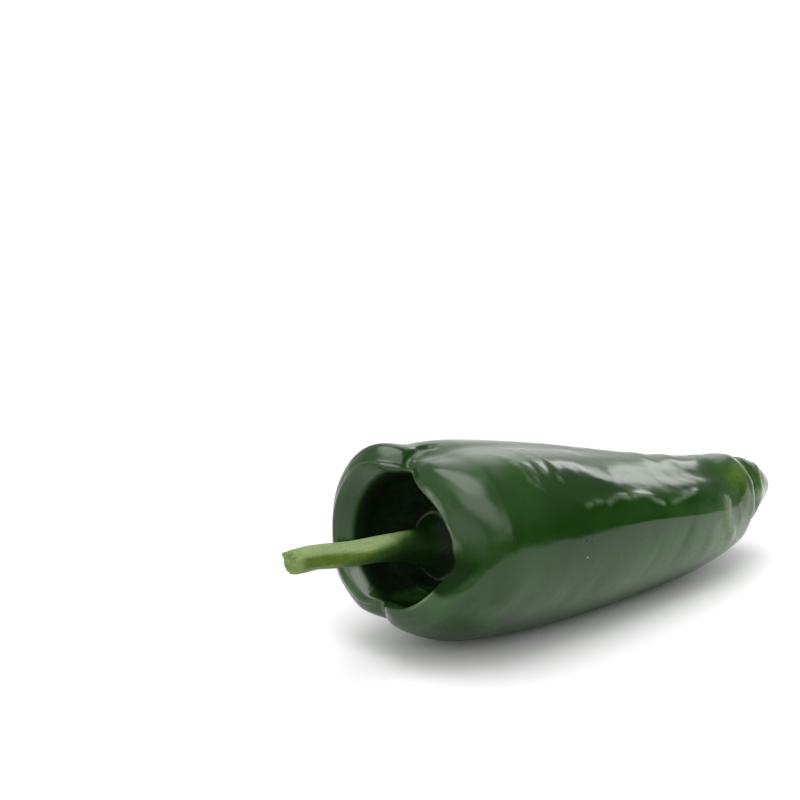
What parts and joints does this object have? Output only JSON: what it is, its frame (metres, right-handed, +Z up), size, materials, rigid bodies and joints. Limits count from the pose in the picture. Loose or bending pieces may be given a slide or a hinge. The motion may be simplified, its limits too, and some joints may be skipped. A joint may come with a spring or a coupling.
{
  "type": "poblano pepper",
  "caption": "Fresh dark green poblano pepper lying on its side: a broad-shouldered pod that tapers to a blunt tip, with a pale green stem standing in a deep basin.",
  "frame": {"origin": "on the flat spot of the pod's underside, near the spot's middle and under the pepper's weight", "axes": "+X along the pod from its stem end to its tip, +Z up from the surface it lies on, -Y towards the lobe with the long side crease"},
  "size_m": [0.1805, 0.0576, 0.0607],
  "materials": {
    "pod_skin": "smooth waxy dark green skin with a clear shine",
    "stem_green": "fibrous pale green stem, darker at the calyx, with a dull shine"
  },
  "bodies": {
    "root": {"pod": "pod_skin", "stem": "stem_green"}
  },
  "joints": []
}
